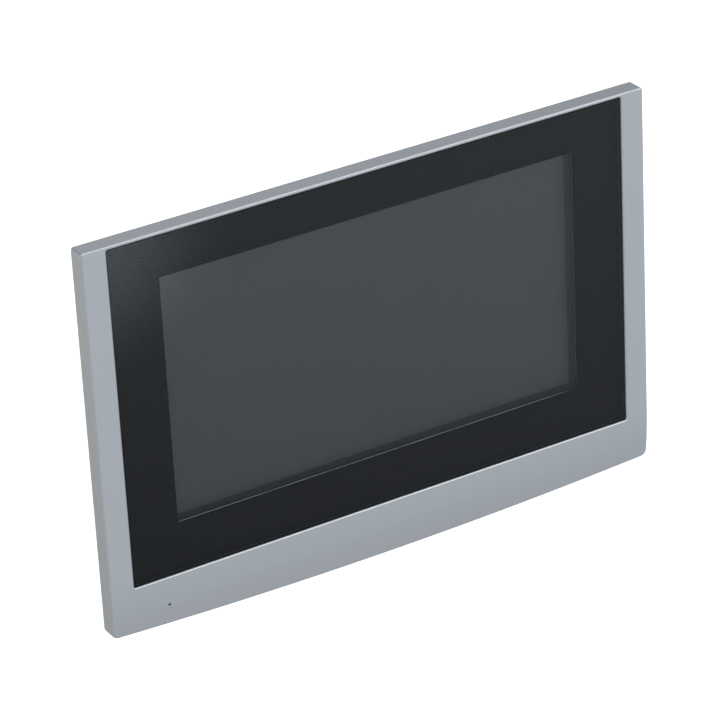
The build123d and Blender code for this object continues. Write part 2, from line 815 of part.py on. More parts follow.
# ---------------------------------------------------------------- wall bracket
def wall_bracket():
    plate = RectangleRounded(bracket_width, bracket_height, bracket_corner_radius)
    plate -= RectangleRounded(cable_hole_width, cable_hole_height, cable_hole_radius)
    screw_x = wall_screw_spacing_x / 2
    screw_z = wall_screw_spacing_z / 2
    for x, z in ((screw_x, screw_z), (-screw_x, screw_z), (screw_x, -screw_z), (-screw_x, -screw_z)):
        plate -= at(x, z, Circle(wall_screw_hole / 2))
    for x in (box_screw_spacing / 2, -box_screw_spacing / 2):
        plate -= at(x, 0, SlotOverall(box_slot_length, wall_screw_hole))
    body = slab(plate, 0, -bracket_thickness)
    for x in hook_x:
        for z in hook_z:
            window = span(x, hook_width + 2 * hook_window_side)
            body -= block(window, (z, z + hook_tip + hook_window_spare), 0, -bracket_thickness)
            side = span(x, hook_width)
            body += block(side, (z - bracket_thickness, z), -bracket_thickness / 2, hook_front_y)
            body += block(side, (z - bracket_thickness, z + hook_tip), hook_back_y, hook_front_y)
    return body


# ---------------------------------------------------------------- main board
def main_board():
    centre_z = (board_top + board_bottom) / 2
    height = board_top - board_bottom
    outline = at(0, centre_z, RectangleRounded(2 * board_half_width, height, board_corner_radius))
    tongue_start = board_half_width - board_corner_radius
    tongue = Rectangle(tongue_end_x - tongue_start, 2 * (socket_half_height + tongue_margin))
    outline += at((tongue_end_x + tongue_start) / 2, card_centre_z, tongue)
    board = slab(outline, board_back_y, board_front_y)
    for x, z in board_screw_points:
        board -= rod(x, z, board_screw_diameter + 2 * screw_free_clearance, board_back_y, board_front_y)
    return board


def board_screws():
    sizes = (board_screw_diameter, board_screw_length, board_head_diameter, board_head_height)
    return Compound([screw(x, z, *sizes, board_front_y, -1) for x, z in board_screw_points])


def on_board(x, z, width, height, depth):
    """A low block on the wall side of the board."""
    return block(span(x, width), span(z, height), board_back_y + depth, board_back_y)


def processor():
    chip = on_board(*processor_place, *processor_size)
    return chamfer(chip.edges().group_by(Axis.Y)[-1], package_chamfer)


def memory_chips():
    return Compound([on_board(memory_x, z, *memory_size) for z in memory_rows])


def radio_module():
    """The wireless module under its pressed steel can."""
    can = on_board(*radio_place, *radio_size)
    return fillet(can.edges().group_by(Axis.Y)[-1], can_rounding)


def power_inductors():
    blocks = [on_board(inductor_x, z, *inductor_size) for z in inductor_rows]
    return Compound([chamfer(part.edges().filter_by(Axis.Y), inductor_chamfer) for part in blocks])


def board_capacitors():
    top = board_back_y + capacitor_height
    return Compound([rod(capacitor_x, z, capacitor_diameter, top, board_back_y) for z in capacitor_rows])


def chip_capacitors():
    """Small parts in columns beside the processor and the memory."""
    rows = [chip_first_z + i * chip_pitch for i in range(chip_rows)]
    return Compound([on_board(x, z, *chip_size) for z in rows for x in chip_columns])


def battery_holder():
    outer = battery_diameter + 2 * (holder_gap + holder_wall)
    inner = battery_diameter + 2 * holder_gap
    floor_y = board_back_y + holder_floor
    ring = tube(battery_x, battery_z, outer, inner, board_back_y + holder_height, floor_y)
    return ring + rod(battery_x, battery_z, outer, floor_y, board_back_y)


def clock_battery():
    floor_y = board_back_y + holder_floor
    cell = rod(battery_x, battery_z, battery_diameter, floor_y + battery_thickness, floor_y)
    return fillet(cell.edges().group_by(Axis.Y)[-1], battery_rounding)


def header_spans():
    """Each wire header's left end and pin count, the row centred on the bay."""
    widths = [(pins - 1) * header_pitch + header_end for pins in header_pins_each]
    left = -(sum(widths) + header_gap * (len(widths) - 1)) / 2
    spans = []
    for pins, width in zip(header_pins_each, widths):
        spans.append((left, width, pins))
        left += width + header_gap
    return spans


def wire_headers():
    """The door station's, power's and bus wires' sockets, open downwards."""
    shells = []
    back = board_back_y + header_depth
    for left, width, pins in header_spans():
        shell = block((left, left + width), (header_top - header_length, header_top), back, board_back_y)
        inside = (left + header_wall, left + width - header_wall)
        depth = (header_top - header_length, header_top - header_back_wall)
        shells.append(shell - block(inside, depth, back - header_wall, board_back_y + header_wall))
    return Compound(shells)


def header_pins():
    pins_out = []
    front, back = span(board_back_y + header_depth / 2, pin_size)
    root_z = header_top - header_back_wall
    for left, width, pins in header_spans():
        for i in range(pins):
            x = left + header_end / 2 + i * header_pitch
            pins_out.append(block(span(x, pin_size), (root_z - pin_reach, root_z), back, front))
    return Compound(pins_out)


def lead_sockets():
    """The speaker's and microphone's two small sockets at the board's lower edge."""
    size = (lead_socket_width, lead_socket_height, lead_socket_depth)
    return Compound([on_board(x, lead_socket_z, *size) for x in (speaker_socket_x, microphone_socket_x)])


# ---------------------------------------------------------------- switches
def dip_slider_x(index):
    return switch_column_x + (index - (dip_count - 1) / 2) * dip_pitch


def dip_switch():
    back = board_back_y + dip_body_depth
    body = on_board(switch_column_x, dip_centre_z, dip_body_width, dip_body_height, dip_body_depth)
    width = dip_slider_width + 2 * running_gap
    height = dip_slider_height + dip_travel + 2 * running_gap
    floor_y = back - dip_slider_root - running_gap
    for i in range(dip_count):
        body -= block(span(dip_slider_x(i), width), span(dip_centre_z, height), back, floor_y)
    return body


def dip_slider(index):
    """One of the switch's levers, at the lower end of its travel."""
    back = board_back_y + dip_body_depth
    side = span(dip_slider_x(index), dip_slider_width)
    tall = span(dip_centre_z - dip_travel / 2, dip_slider_height)
    slider = block(side, tall, back + dip_slider_proud, back - dip_slider_root)
    return chamfer(slider.edges().group_by(Axis.Y)[-1], dip_slider_chamfer)


def reset_switch():
    body = on_board(switch_column_x, reset_centre_z, reset_body, reset_body, reset_depth)
    bore = reset_plunger_diameter + 2 * running_gap
    back = board_back_y + reset_depth
    floor_y = back - reset_plunger_root - reset_bore_spare
    return body - rod(switch_column_x, reset_centre_z, bore, back, floor_y)


def reset_plunger():
    back = board_back_y + reset_depth
    tip_y = back + reset_plunger_proud
    plunger = rod(switch_column_x, reset_centre_z, reset_plunger_diameter, tip_y, back - reset_plunger_root)
    return fillet(plunger.edges().group_by(Axis.Y)[-1], reset_plunger_rounding)


# ---------------------------------------------------------------- memory card
def card_socket():
    back = board_back_y + socket_depth
    across = (socket_inner_x, socket_outer_x)
    shell = block(across, span(card_centre_z, 2 * socket_half_height), back, board_back_y)
    inside = (socket_inner_x + socket_wall, socket_outer_x)
    height = card_width + 2 * card_side_gap
    return shell - block(inside, span(card_centre_z, height), back - socket_wall, board_back_y + socket_wall)


def memory_card():
    front, back = span(card_centre_y, card_thickness)
    outline = at((card_inner_x + card_outer_x) / 2, card_centre_z, Rectangle(card_length, card_width))
    notch = Rectangle(card_neck_length, card_width - card_neck)
    outline -= at(card_inner_x + card_neck_length / 2, card_centre_z + card_width / 2, notch)
    card = slab(outline, back, front)
    groove_x = card_outer_x - card_thumb_inset
    groove = (groove_x - card_thumb_width, groove_x)
    return card - block(groove, span(card_centre_z, card_width), back, back - card_thumb_depth)


# ---------------------------------------------------------------- speaker and microphone
def racetrack(inset):
    return at(speaker_x, speaker_z, SlotOverall(speaker_width - 2 * inset, speaker_height - 2 * inset))


def speaker_basket():
    body = slab(racetrack(0), speaker_back_y, speaker_front_y)
    body -= slab(racetrack(basket_wall), speaker_back_y, speaker_front_y + basket_floor)
    return body - rod(speaker_x, speaker_z, magnet_diameter, speaker_back_y, speaker_front_y)


def speaker_magnet():
    magnet = rod(speaker_x, speaker_z, magnet_diameter, magnet_back_y, magnet_front_y)
    groove_mid = coil_diameter - coil_wall
    groove_floor = cone_back_y - cone_thickness - coil_length - cone_travel - coil_spare
    outer = groove_mid + magnet_gap_width
    inner = groove_mid - magnet_gap_width
    return magnet - tube(speaker_x, speaker_z, outer, inner, magnet_back_y, groove_floor)


def speaker_surround():
    ring = racetrack(basket_wall) - racetrack(basket_wall + surround_width)
    return slab(ring, cone_back_y + surround_back, cone_back_y - cone_thickness - surround_front)


def speaker_cone():
    cone_front_y = cone_back_y - cone_thickness
    cone = slab(racetrack(basket_wall + surround_width + cone_gap), cone_back_y, cone_front_y)
    inner = coil_diameter - 2 * coil_wall
    return cone + tube(speaker_x, speaker_z, coil_diameter, inner, cone_front_y, cone_front_y - coil_length)


def speaker_gasket():
    ring = racetrack(0) - racetrack(basket_wall)
    return slab(ring, chin_inner_y, speaker_back_y)


def microphone_boot():
    capsule_y = boot_front_y + boot_front
    boot = rod(microphone_x, microphone_z, boot_diameter, boot_back_y, boot_front_y)
    boot -= rod(microphone_x, microphone_z, microphone_diameter, boot_back_y, capsule_y)
    boot -= rod(microphone_x, microphone_z, microphone_hole, boot_back_y, boot_front_y)
    notch = span(microphone_x, lead_diameter + 2 * lead_gap)
    return boot - block(notch, (microphone_z, microphone_z + boot_diameter), boot_back_y, capsule_y)


def microphone_capsule():
    front = boot_front_y + boot_front
    return rod(microphone_x, microphone_z, microphone_diameter, front + microphone_depth, front)


def microphone_lead():
    """Up from the capsule, back past the glass tray and the panel, and up into its socket."""
    x = microphone_x
    y = boot_front_y + boot_front + microphone_depth / 2
    z = microphone_z + microphone_diameter / 2
    end_y = board_back_y + lead_height
    end_z = lead_socket_z - lead_socket_height / 2
    start = [(x, y, z), (x, y, z + 2.4), (x + 0.8, y + 1.8, z + 5.2), (x + 3.6, y + 4.9, z + 9.4)]
    passing = [(x + 9.6, board_front_y - 1.0, z + 15.8), (x + 17.4, board_front_y - 0.4, board_bottom - 7.0)]
    x = microphone_socket_x
    end = [(x - 3.4, board_back_y + 0.1, end_z - 5.4), (x, end_y, end_z - 3.0), (x, end_y, end_z)]
    return lead(start + passing + end)


def speaker_lead():
    """Up from the speaker's side, across behind the panel's lower edge and up into its socket."""
    x = speaker_x - speaker_lead_offset
    y = board_front_y - 0.5
    z = speaker_z + speaker_height / 2
    end_y = board_back_y + lead_height
    end_z = lead_socket_z - lead_socket_height / 2
    start = [(x, y, z), (x, y, z + 2.2), (x - 3.6, y + 0.9, z + 5.0), (x - 11.5, y + 2.4, z + 6.6)]
    x = speaker_socket_x
    return lead(start + [(x + 1.6, end_y, end_z - 2.9), (x, end_y, end_z - 1.4), (x, end_y, end_z)])


# ---------------------------------------------------------------- assembly
def build_nodes():
    nodes = {
        "front_frame": front_frame,
        "cover_glass": cover_glass,
        "glass_border": glass_border,
        "glass_tape": glass_tape,
        "touch_sensor": touch_sensor,
        "touch_flex": touch_flex,
        "panel_gasket": panel_gasket,
        "panel_bezel": panel_bezel,
        "display_cell": display_cell,
        "diffuser_films": diffuser_films,
        "light_guide": light_guide,
        "led_strip": led_strip,
        "panel_tray": panel_tray,
        "display_flex": display_flex,
        "panel_clamps": panel_clamps,
        "clamp_screws": clamp_screws,
        "rear_cover": rear_cover,
        "rear_screws": rear_screws,
        "wall_pads": wall_pads,
        "wall_bracket": wall_bracket,
        "main_board": main_board,
        "board_screws": board_screws,
        "flex_sockets": flex_sockets,
        "processor": processor,
        "memory_chips": memory_chips,
        "radio_module": radio_module,
        "power_inductors": power_inductors,
        "board_capacitors": board_capacitors,
        "chip_capacitors": chip_capacitors,
        "battery_holder": battery_holder,
        "clock_battery": clock_battery,
        "wire_headers": wire_headers,
        "header_pins": header_pins,
        "lead_sockets": lead_sockets,
        "dip_switch": dip_switch,
        "reset_switch": reset_switch,
        "reset_plunger": reset_plunger,
        "card_socket": card_socket,
        "memory_card": memory_card,
        "speaker_basket": speaker_basket,
        "speaker_magnet": speaker_magnet,
        "speaker_surround": speaker_surround,
        "speaker_cone": speaker_cone,
        "speaker_gasket": speaker_gasket,
        "speaker_lead": speaker_lead,
        "microphone_boot": microphone_boot,
        "microphone_capsule": microphone_capsule,
        "microphone_lead": microphone_lead,
    }
    for i in range(dip_count):
        nodes[f"dip_slider_{i + 1}"] = lambda index=i: dip_slider(index)
    return nodes


os.makedirs("parts", exist_ok=True)
for name, make in build_nodes().items():
    print(name)
    export_step(make(), f"parts/{name}.step")
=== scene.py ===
import math
import random

import bmesh
import bpy
from mathutils import Matrix, Vector


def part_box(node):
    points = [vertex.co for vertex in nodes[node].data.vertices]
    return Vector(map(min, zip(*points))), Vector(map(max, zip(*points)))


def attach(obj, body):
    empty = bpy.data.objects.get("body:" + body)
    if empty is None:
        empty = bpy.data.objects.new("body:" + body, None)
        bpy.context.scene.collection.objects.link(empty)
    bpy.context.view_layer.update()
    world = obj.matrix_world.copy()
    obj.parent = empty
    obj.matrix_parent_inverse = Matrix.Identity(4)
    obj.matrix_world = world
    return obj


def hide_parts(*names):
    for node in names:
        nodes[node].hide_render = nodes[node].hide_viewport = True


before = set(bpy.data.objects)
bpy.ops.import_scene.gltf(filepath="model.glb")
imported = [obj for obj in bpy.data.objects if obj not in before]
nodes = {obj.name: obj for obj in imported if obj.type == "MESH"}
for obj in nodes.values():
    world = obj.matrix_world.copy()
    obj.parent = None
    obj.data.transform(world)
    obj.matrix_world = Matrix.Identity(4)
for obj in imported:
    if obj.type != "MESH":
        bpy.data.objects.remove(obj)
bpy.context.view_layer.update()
mm = 0.001

print("stage 1: frame loaded,", len(nodes), "nodes")

glassLow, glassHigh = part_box("cover_glass")
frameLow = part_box("front_frame")[0]
glassCentre = Vector(((glassLow.x + glassHigh.x) / 2, glassLow.y, (glassLow.z + glassHigh.z) / 2))


def newNode(tree, kind, **values):
    node = tree.nodes.new(kind)
    for key, value in values.items():
        setattr(node, key, value)
    return node


# camera, world and lamps

cameraView = {
    "azimuth": -30.5,  # degrees round the object, from straight in front
    "elevation": 26.97,
    "distance": 1.2918,
    "aimRight": -8.0 * mm,  # where the lens points, from the glass's centre
    "aimUp": -5.0 * mm,
    "roll": -3.006,
    "lens": 196.86,
}


def makeCamera(view):
    azimuth = math.radians(view["azimuth"])
    elevation = math.radians(view["elevation"])
    level = math.cos(elevation)
    outward = Vector((math.sin(azimuth) * level, -math.cos(azimuth) * level, math.sin(elevation)))
    place = glassCentre + outward * view["distance"]
    aim = glassCentre + Vector((view["aimRight"], 0, view["aimUp"]))
    data = bpy.data.cameras.new("camera")
    data.lens = view["lens"]
    data.sensor_width = 36
    data.clip_start = 0.05
    data.clip_end = 60
    camera = bpy.data.objects.new("camera", data)
    bpy.context.scene.collection.objects.link(camera)
    turn = (aim - place).to_track_quat("-Z", "Y").to_matrix().to_4x4()
    roll = Matrix.Rotation(math.radians(view["roll"]), 4, "Z")
    camera.matrix_world = Matrix.Translation(place) @ turn @ roll
    bpy.context.scene.camera = camera


makeCamera(cameraView)
bpy.context.scene.view_settings.view_transform = "Standard"


def areaLamp(name, place, target, size, power, colour=(1, 1, 1)):
    data = bpy.data.lights.new(name, "AREA")
    data.shape = "RECTANGLE"
    data.size = size[0]
    data.size_y = size[1]
    data.energy = power
    data.color = colour
    lamp = bpy.data.objects.new(name, data)
    bpy.context.scene.collection.objects.link(lamp)
    lamp.location = place
    lamp.rotation_euler = (Vector(target) - Vector(place)).to_track_quat("-Z", "Y").to_euler()


# each lamp: place, where it points, width and height, power, colour
lampSettings = {
    "keyLamp": ((-0.9, -1.3, 1.1), (0, 0, 0), (1.2, 1.0), 9, (0.93, 0.97, 1.0)),
    "fillLamp": ((1.4, -0.9, 0.7), (0, 0, 0), (1.2, 1.2), 4, (0.93, 0.97, 1.0)),
    "sideLamp": ((-1.5, 0.5, 0.2), (0, 0, 0), (0.9, 0.9), 0.8, (1.0, 0.96, 0.90)),
    "edgeLamp": ((0.8, -0.8, 1.4), (0, 0, 0.05), (0.9, 0.5), 4, (1.0, 1.0, 1.0)),
    "backLamp": ((0.4, 1.6, 0.8), (0, 0, 0), (1.2, 0.8), 0.5, (1.0, 1.0, 1.0)),
}


def makeLamps(lamps):
    for name, (place, target, size, power, colour) in lamps.items():
        areaLamp(name, place, target, size, power, colour)


makeLamps(lampSettings)

# studio tones by height of the direction looked in, from straight down at 0 to straight up at 1
worldSettings = {
    "tones": (
        (0.00, (0.30, 0.31, 0.33)),
        (0.24, (0.33, 0.35, 0.38)),
        (0.30, (0.63, 0.68, 0.73)),
        (0.50, (0.62, 0.64, 0.66)),
        (0.74, (0.19, 0.205, 0.225)),
        (0.86, (0.48, 0.50, 0.53)),
        (1.00, (0.85, 0.87, 0.90)),
    ),
    "left": (0.86, 0.81, 0.745),  # tone towards -X, where a warm wall stands
    "right": (1.0, 1.0, 1.0),
}


def makeWorld(settings):
    world = bpy.data.worlds.new("studio")
    bpy.context.scene.world = world
    world.use_nodes = True
    tree = world.node_tree
    tree.nodes.clear()
    out = tree.nodes.new("ShaderNodeOutputWorld")
    background = tree.nodes.new("ShaderNodeBackground")
    coords = tree.nodes.new("ShaderNodeTexCoord")
    split = tree.nodes.new("ShaderNodeSeparateXYZ")
    ramp = tree.nodes.new("ShaderNodeValToRGB")
    scale = tree.nodes.new("ShaderNodeMapRange")
    scale.inputs["From Min"].default_value = -1
    tree.links.new(coords.outputs["Generated"], split.inputs[0])
    tree.links.new(split.outputs["Z"], scale.inputs["Value"])
    tree.links.new(scale.outputs[0], ramp.inputs[0])
    ramp.color_ramp.interpolation = "EASE"
    stops = ramp.color_ramp.elements
    while len(stops) < len(settings["tones"]):
        stops.new(0.5)
    for stop, (height, tone) in zip(stops, settings["tones"]):
        stop.position = height
        stop.color = (*tone, 1)
    sideScale = newNode(tree, "ShaderNodeMapRange", interpolation_type="SMOOTHSTEP")
    sideScale.inputs["From Min"].default_value = -0.5
    sideScale.inputs["From Max"].default_value = 0.3
    tree.links.new(split.outputs["X"], sideScale.inputs["Value"])
    sideTone = newNode(tree, "ShaderNodeMix", data_type="RGBA")
    sideTone.inputs[6].default_value = (*settings["left"], 1)
    sideTone.inputs[7].default_value = (*settings["right"], 1)
    tree.links.new(sideScale.outputs[0], sideTone.inputs["Factor"])
    both = newNode(tree, "ShaderNodeMix", data_type="RGBA", blend_type="MULTIPLY")
    both.inputs["Factor"].default_value = 1
    tree.links.new(ramp.outputs[0], both.inputs[6])
    tree.links.new(sideTone.outputs[2], both.inputs[7])
    tree.links.new(both.outputs[2], background.inputs["Color"])
    tree.links.new(background.outputs[0], out.inputs[0])


makeWorld(worldSettings)

floorSettings = {"drop": 0.30, "size": 30.0, "white": 0.9, "glow": 0.75}


def makeFloor(settings):
    mesh = bpy.data.meshes.new("floor")
    half = settings["size"] / 2
    z = frameLow.z - settings["drop"]
    corners = [(-half, -half, z), (half, -half, z), (half, half, z), (-half, half, z)]
    mesh.from_pydata(corners, [], [(0, 1, 2, 3)])
    floor = bpy.data.objects.new("floor", mesh)
    bpy.context.scene.collection.objects.link(floor)
    paint = bpy.data.materials.new("palePaper")
    paint.use_nodes = True
    shader = paint.node_tree.nodes["Principled BSDF"]
    white = settings["white"]
    shader.inputs["Base Color"].default_value = (white, white, white, 1)
    shader.inputs["Roughness"].default_value = 0.9
    shader.inputs["Specular IOR Level"].default_value = 0.1
    shader.inputs["Emission Color"].default_value = (1, 1, 1, 1)
    shader.inputs["Emission Strength"].default_value = settings["glow"]
    mesh.materials.append(paint)
    floor.visible_glossy = False


makeFloor(floorSettings)

# a softly lit card under the floor that only shows as a sheen in the glass's upper left
cardSettings = {
    "centre": (0.385, -1.03, -0.45),
    "reach": 0.12,  # from its middle to where the glow has faded out
    "glow": 1.9,
    "tint": (0.88, 1.0, 1.08),
}


def makeCard(settings):
    reach = settings["reach"]
    mesh = bpy.data.meshes.new("sheenCard")
    corners = [(-reach, 0, -reach), (reach, 0, -reach), (reach, 0, reach), (-reach, 0, reach)]
    mesh.from_pydata(corners, [], [(0, 1, 2, 3)])
    card = bpy.data.objects.new("sheenCard", mesh)
    bpy.context.scene.collection.objects.link(card)
    card.location = settings["centre"]
    paint = bpy.data.materials.new("sheenLight")
    paint.use_nodes = True
    tree = paint.node_tree
    tree.nodes.remove(tree.nodes["Principled BSDF"])
    coords = newNode(tree, "ShaderNodeTexCoord")
    distance = newNode(tree, "ShaderNodeVectorMath", operation="LENGTH")
    tree.links.new(coords.outputs["Object"], distance.inputs[0])
    fade = newNode(tree, "ShaderNodeMapRange", interpolation_type="SMOOTHERSTEP")
    fade.inputs["From Min"].default_value = 0
    fade.inputs["From Max"].default_value = reach
    fade.inputs["To Min"].default_value = 1
    fade.inputs["To Max"].default_value = 0
    tree.links.new(distance.outputs["Value"], fade.inputs["Value"])
    glow = newNode(tree, "ShaderNodeEmission")
    glow.inputs["Strength"].default_value = settings["glow"]
    glow.inputs["Color"].default_value = (*settings["tint"], 1)
    clear = newNode(tree, "ShaderNodeBsdfTransparent")
    mix = newNode(tree, "ShaderNodeMixShader")
    tree.links.new(fade.outputs[0], mix.inputs[0])
    tree.links.new(clear.outputs[0], mix.inputs[1])
    tree.links.new(glow.outputs[0], mix.inputs[2])
    tree.links.new(mix.outputs[0], tree.nodes["Material Output"].inputs["Surface"])
    mesh.materials.append(paint)
    card.visible_camera = False
    card.visible_diffuse = False
    card.visible_shadow = False
    card.visible_transmission = False


makeCard(cardSettings)
print("stage 2: camera, lamps and floor")


# materials

def finishOf(name, colour, roughness, metallic=0.0, specular=0.5, mottle=0.06, mottleScale=60.0,
             grainScale=1800.0, grainDepth=0.02, roughSpread=0.08):
    # one moulded, painted or plated finish: slow colour drift, a fine surface grain and uneven gloss
    paint = bpy.data.materials.new(name)
    paint.use_nodes = True
    tree = paint.node_tree
    shader = tree.nodes["Principled BSDF"]
    shader.inputs["Metallic"].default_value = metallic
    shader.inputs["Specular IOR Level"].default_value = specular
    coords = newNode(tree, "ShaderNodeTexCoord")
    drift = newNode(tree, "ShaderNodeTexNoise")
    drift.inputs["Scale"].default_value = mottleScale
    drift.inputs["Detail"].default_value = 3
    grain = newNode(tree, "ShaderNodeTexNoise")
    grain.inputs["Scale"].default_value = grainScale
    grain.inputs["Detail"].default_value = 2
    for texture in (drift, grain):
        tree.links.new(coords.outputs["Object"], texture.inputs["Vector"])
    tint = newNode(tree, "ShaderNodeMix", data_type="RGBA")
    dark = [c * (1 - mottle) for c in colour]
    light = [min(1, c * (1 + mottle)) for c in colour]
    tint.inputs[6].default_value = (*dark, 1)
    tint.inputs[7].default_value = (*light, 1)
    tree.links.new(drift.outputs["Fac"], tint.inputs["Factor"])
    tree.links.new(tint.outputs[2], shader.inputs["Base Color"])
    gloss = newNode(tree, "ShaderNodeMapRange")
    gloss.inputs["To Min"].default_value = max(0.02, roughness - roughSpread)
    gloss.inputs["To Max"].default_value = min(1, roughness + roughSpread)
    tree.links.new(drift.outputs["Fac"], gloss.inputs["Value"])
    tree.links.new(gloss.outputs[0], shader.inputs["Roughness"])
    relief = newNode(tree, "ShaderNodeBump")
    relief.inputs["Strength"].default_value = 1
    relief.inputs["Distance"].default_value = grainDepth * mm
    tree.links.new(grain.outputs["Fac"], relief.inputs["Height"])
    tree.links.new(relief.outputs[0], shader.inputs["Normal"])
    return paint


def clearFinish(name, tint, mirror, roughness):
    # a see-through layer: what is behind shows, with a share of mirror on top
    paint = bpy.data.materials.new(name)
    paint.use_nodes = True
    tree = paint.node_tree
    tree.nodes.remove(tree.nodes["Principled BSDF"])
    out = tree.nodes["Material Output"]
    through = newNode(tree, "ShaderNodeBsdfTransparent")
    through.inputs["Color"].default_value = (*tint, 1)
    shine = newNode(tree, "ShaderNodeBsdfGlossy")
    shine.inputs["Roughness"].default_value = roughness
    mix = newNode(tree, "ShaderNodeMixShader")
    if mirror is None:
        # more mirror at a low angle from outside, and none from inside
        edge = newNode(tree, "ShaderNodeFresnel")
        edge.inputs["IOR"].default_value = 1.5
        side = newNode(tree, "ShaderNodeNewGeometry")
        outside = newNode(tree, "ShaderNodeMath", operation="SUBTRACT")
        outside.inputs[0].default_value = 1
        tree.links.new(side.outputs["Backfacing"], outside.inputs[1])
        share = newNode(tree, "ShaderNodeMath", operation="MULTIPLY")
        tree.links.new(edge.outputs[0], share.inputs[0])
        tree.links.new(outside.outputs[0], share.inputs[1])
        tree.links.new(share.outputs[0], mix.inputs[0])
    else:
        mix.inputs[0].default_value = mirror
    tree.links.new(through.outputs[0], mix.inputs[1])
    tree.links.new(shine.outputs[0], mix.inputs[2])
    tree.links.new(mix.outputs[0], out.inputs["Surface"])
    return paint


finishes = {
    "silverPaint": finishOf("silverPaint", (0.575, 0.604, 0.63), 0.42, metallic=0.8, mottle=0.02,
                            mottleScale=900, grainScale=2600, grainDepth=0.006, roughSpread=0.03),
    "borderInk": finishOf("borderInk", (0.0018, 0.0026, 0.0034), 0.6, specular=0.04, mottle=0.1),
    "glassFace": clearFinish("glassFace", (0.965, 0.97, 0.972), None, 0.02),
    "glassInside": clearFinish("glassInside", (0.99, 0.995, 0.99), 0.0, 0.2),
    "glassEdge": finishOf("glassEdge", (0.004, 0.005, 0.005), 0.4, specular=0.1, mottle=0.05),
    "sensorBack": clearFinish("sensorBack", (0.97, 0.975, 0.98), 0.03, 0.06),
    "displayFace": finishOf("displayFace", (0.025, 0.0275, 0.032), 0.42, specular=0.4, mottle=0.01,
                            roughSpread=0.0, grainDepth=0.001),
    "displayMask": finishOf("displayMask", (0.011, 0.0115, 0.0125), 0.45, specular=0.25, mottle=0.01,
                            roughSpread=0.0, grainDepth=0.001),
    "displayGlassEdge": finishOf("displayGlassEdge", (0.05, 0.06, 0.055), 0.4, mottle=0.05),
    "milkyFilm": finishOf("milkyFilm", (0.8, 0.8, 0.8), 0.5),
    "sheetSteel": finishOf("sheetSteel", (0.62, 0.62, 0.61), 0.32, metallic=1, grainScale=900),
    "zincSteel": finishOf("zincSteel", (0.55, 0.56, 0.57), 0.4, metallic=1, mottle=0.16, mottleScale=140),
    "darkFoam": finishOf("darkFoam", (0.02, 0.02, 0.021), 0.95, specular=0.15, grainScale=3000,
                         grainDepth=0.08),
    "whiteNylon": finishOf("whiteNylon", (0.78, 0.77, 0.72), 0.45),
    "amberFilm": finishOf("amberFilm", (0.42, 0.17, 0.03), 0.3),
    "solderMask": finishOf("solderMask", (0.012, 0.075, 0.03), 0.28, mottle=0.25, mottleScale=320),
    "blackPackage": finishOf("blackPackage", (0.018, 0.018, 0.019), 0.55),
    "greyPlastic": finishOf("greyPlastic", (0.40, 0.40, 0.41), 0.6, specular=0.4, mottle=0.03,
                            grainScale=1500, grainDepth=0.05),
    "blackRubber": finishOf("blackRubber", (0.018, 0.018, 0.018), 0.85, specular=0.25),
    "goldContact": finishOf("goldContact", (0.83, 0.6, 0.25), 0.25, metallic=1),
    "blueBody": finishOf("blueBody", (0.02, 0.08, 0.33), 0.45),
    "whiteLever": finishOf("whiteLever", (0.82, 0.82, 0.8), 0.4),
    "redWire": finishOf("redWire", (0.4, 0.015, 0.015), 0.45),
    "copperCoil": finishOf("copperCoil", (0.55, 0.22, 0.09), 0.3, metallic=1),
    "blackPaper": finishOf("blackPaper", (0.02, 0.02, 0.022), 0.85, grainScale=900, grainDepth=0.1),
    "labelPaper": finishOf("labelPaper", (0.74, 0.74, 0.72), 0.5, mottle=0.02, grainDepth=0.004),
    "labelPrint": finishOf("labelPrint", (0.03, 0.03, 0.035), 0.5, mottle=0.1),
    "traceGreen": finishOf("traceGreen", (0.025, 0.14, 0.055), 0.3, mottle=0.1),
    "tinnedLead": finishOf("tinnedLead", (0.66, 0.66, 0.65), 0.3, metallic=1, mottle=0.05),
    "canAluminium": finishOf("canAluminium", (0.78, 0.78, 0.78), 0.3, metallic=1),
}

wornBy = {
    "silverPaint": ("front_frame",),
    "borderInk": ("glass_border",),
    "darkFoam": ("glass_tape", "panel_gasket", "speaker_gasket"),
    "glassFace": ("cover_glass",),
    "sensorBack": ("touch_sensor",),
    "amberFilm": ("touch_flex", "display_flex"),
    "sheetSteel": ("panel_bezel", "panel_clamps", "radio_module", "clock_battery", "card_socket",
                   "speaker_magnet", "microphone_capsule"),
    "displayFace": ("display_cell",),
    "milkyFilm": ("diffuser_films", "light_guide"),
    "whiteNylon": ("led_strip", "panel_tray", "flex_sockets", "chip_capacitors", "wire_headers",
                   "lead_sockets"),
    "zincSteel": ("clamp_screws", "rear_screws", "wall_bracket", "board_screws"),
    "greyPlastic": ("rear_cover",),
    "blackRubber": ("wall_pads", "speaker_surround", "microphone_boot"),
    "solderMask": ("main_board",),
    "blackPackage": ("processor", "memory_chips", "power_inductors", "battery_holder", "reset_switch",
                     "memory_card", "speaker_basket"),
    "canAluminium": ("board_capacitors",),
    "goldContact": ("header_pins",),
    "blueBody": ("dip_switch",),
    "whiteLever": ("reset_plunger", "dip_slider_1", "dip_slider_2", "dip_slider_3", "dip_slider_4"),
    "blackPaper": ("speaker_cone",),
    "redWire": ("speaker_lead", "microphone_lead"),
}


def dressNode(node, paint):
    if not node.data.materials:
        node.data.materials.append(paint)
    for slot in node.material_slots:
        slot.material = paint


for finish, names in wornBy.items():
    for name in names:
        dressNode(nodes[name], finishes[finish])

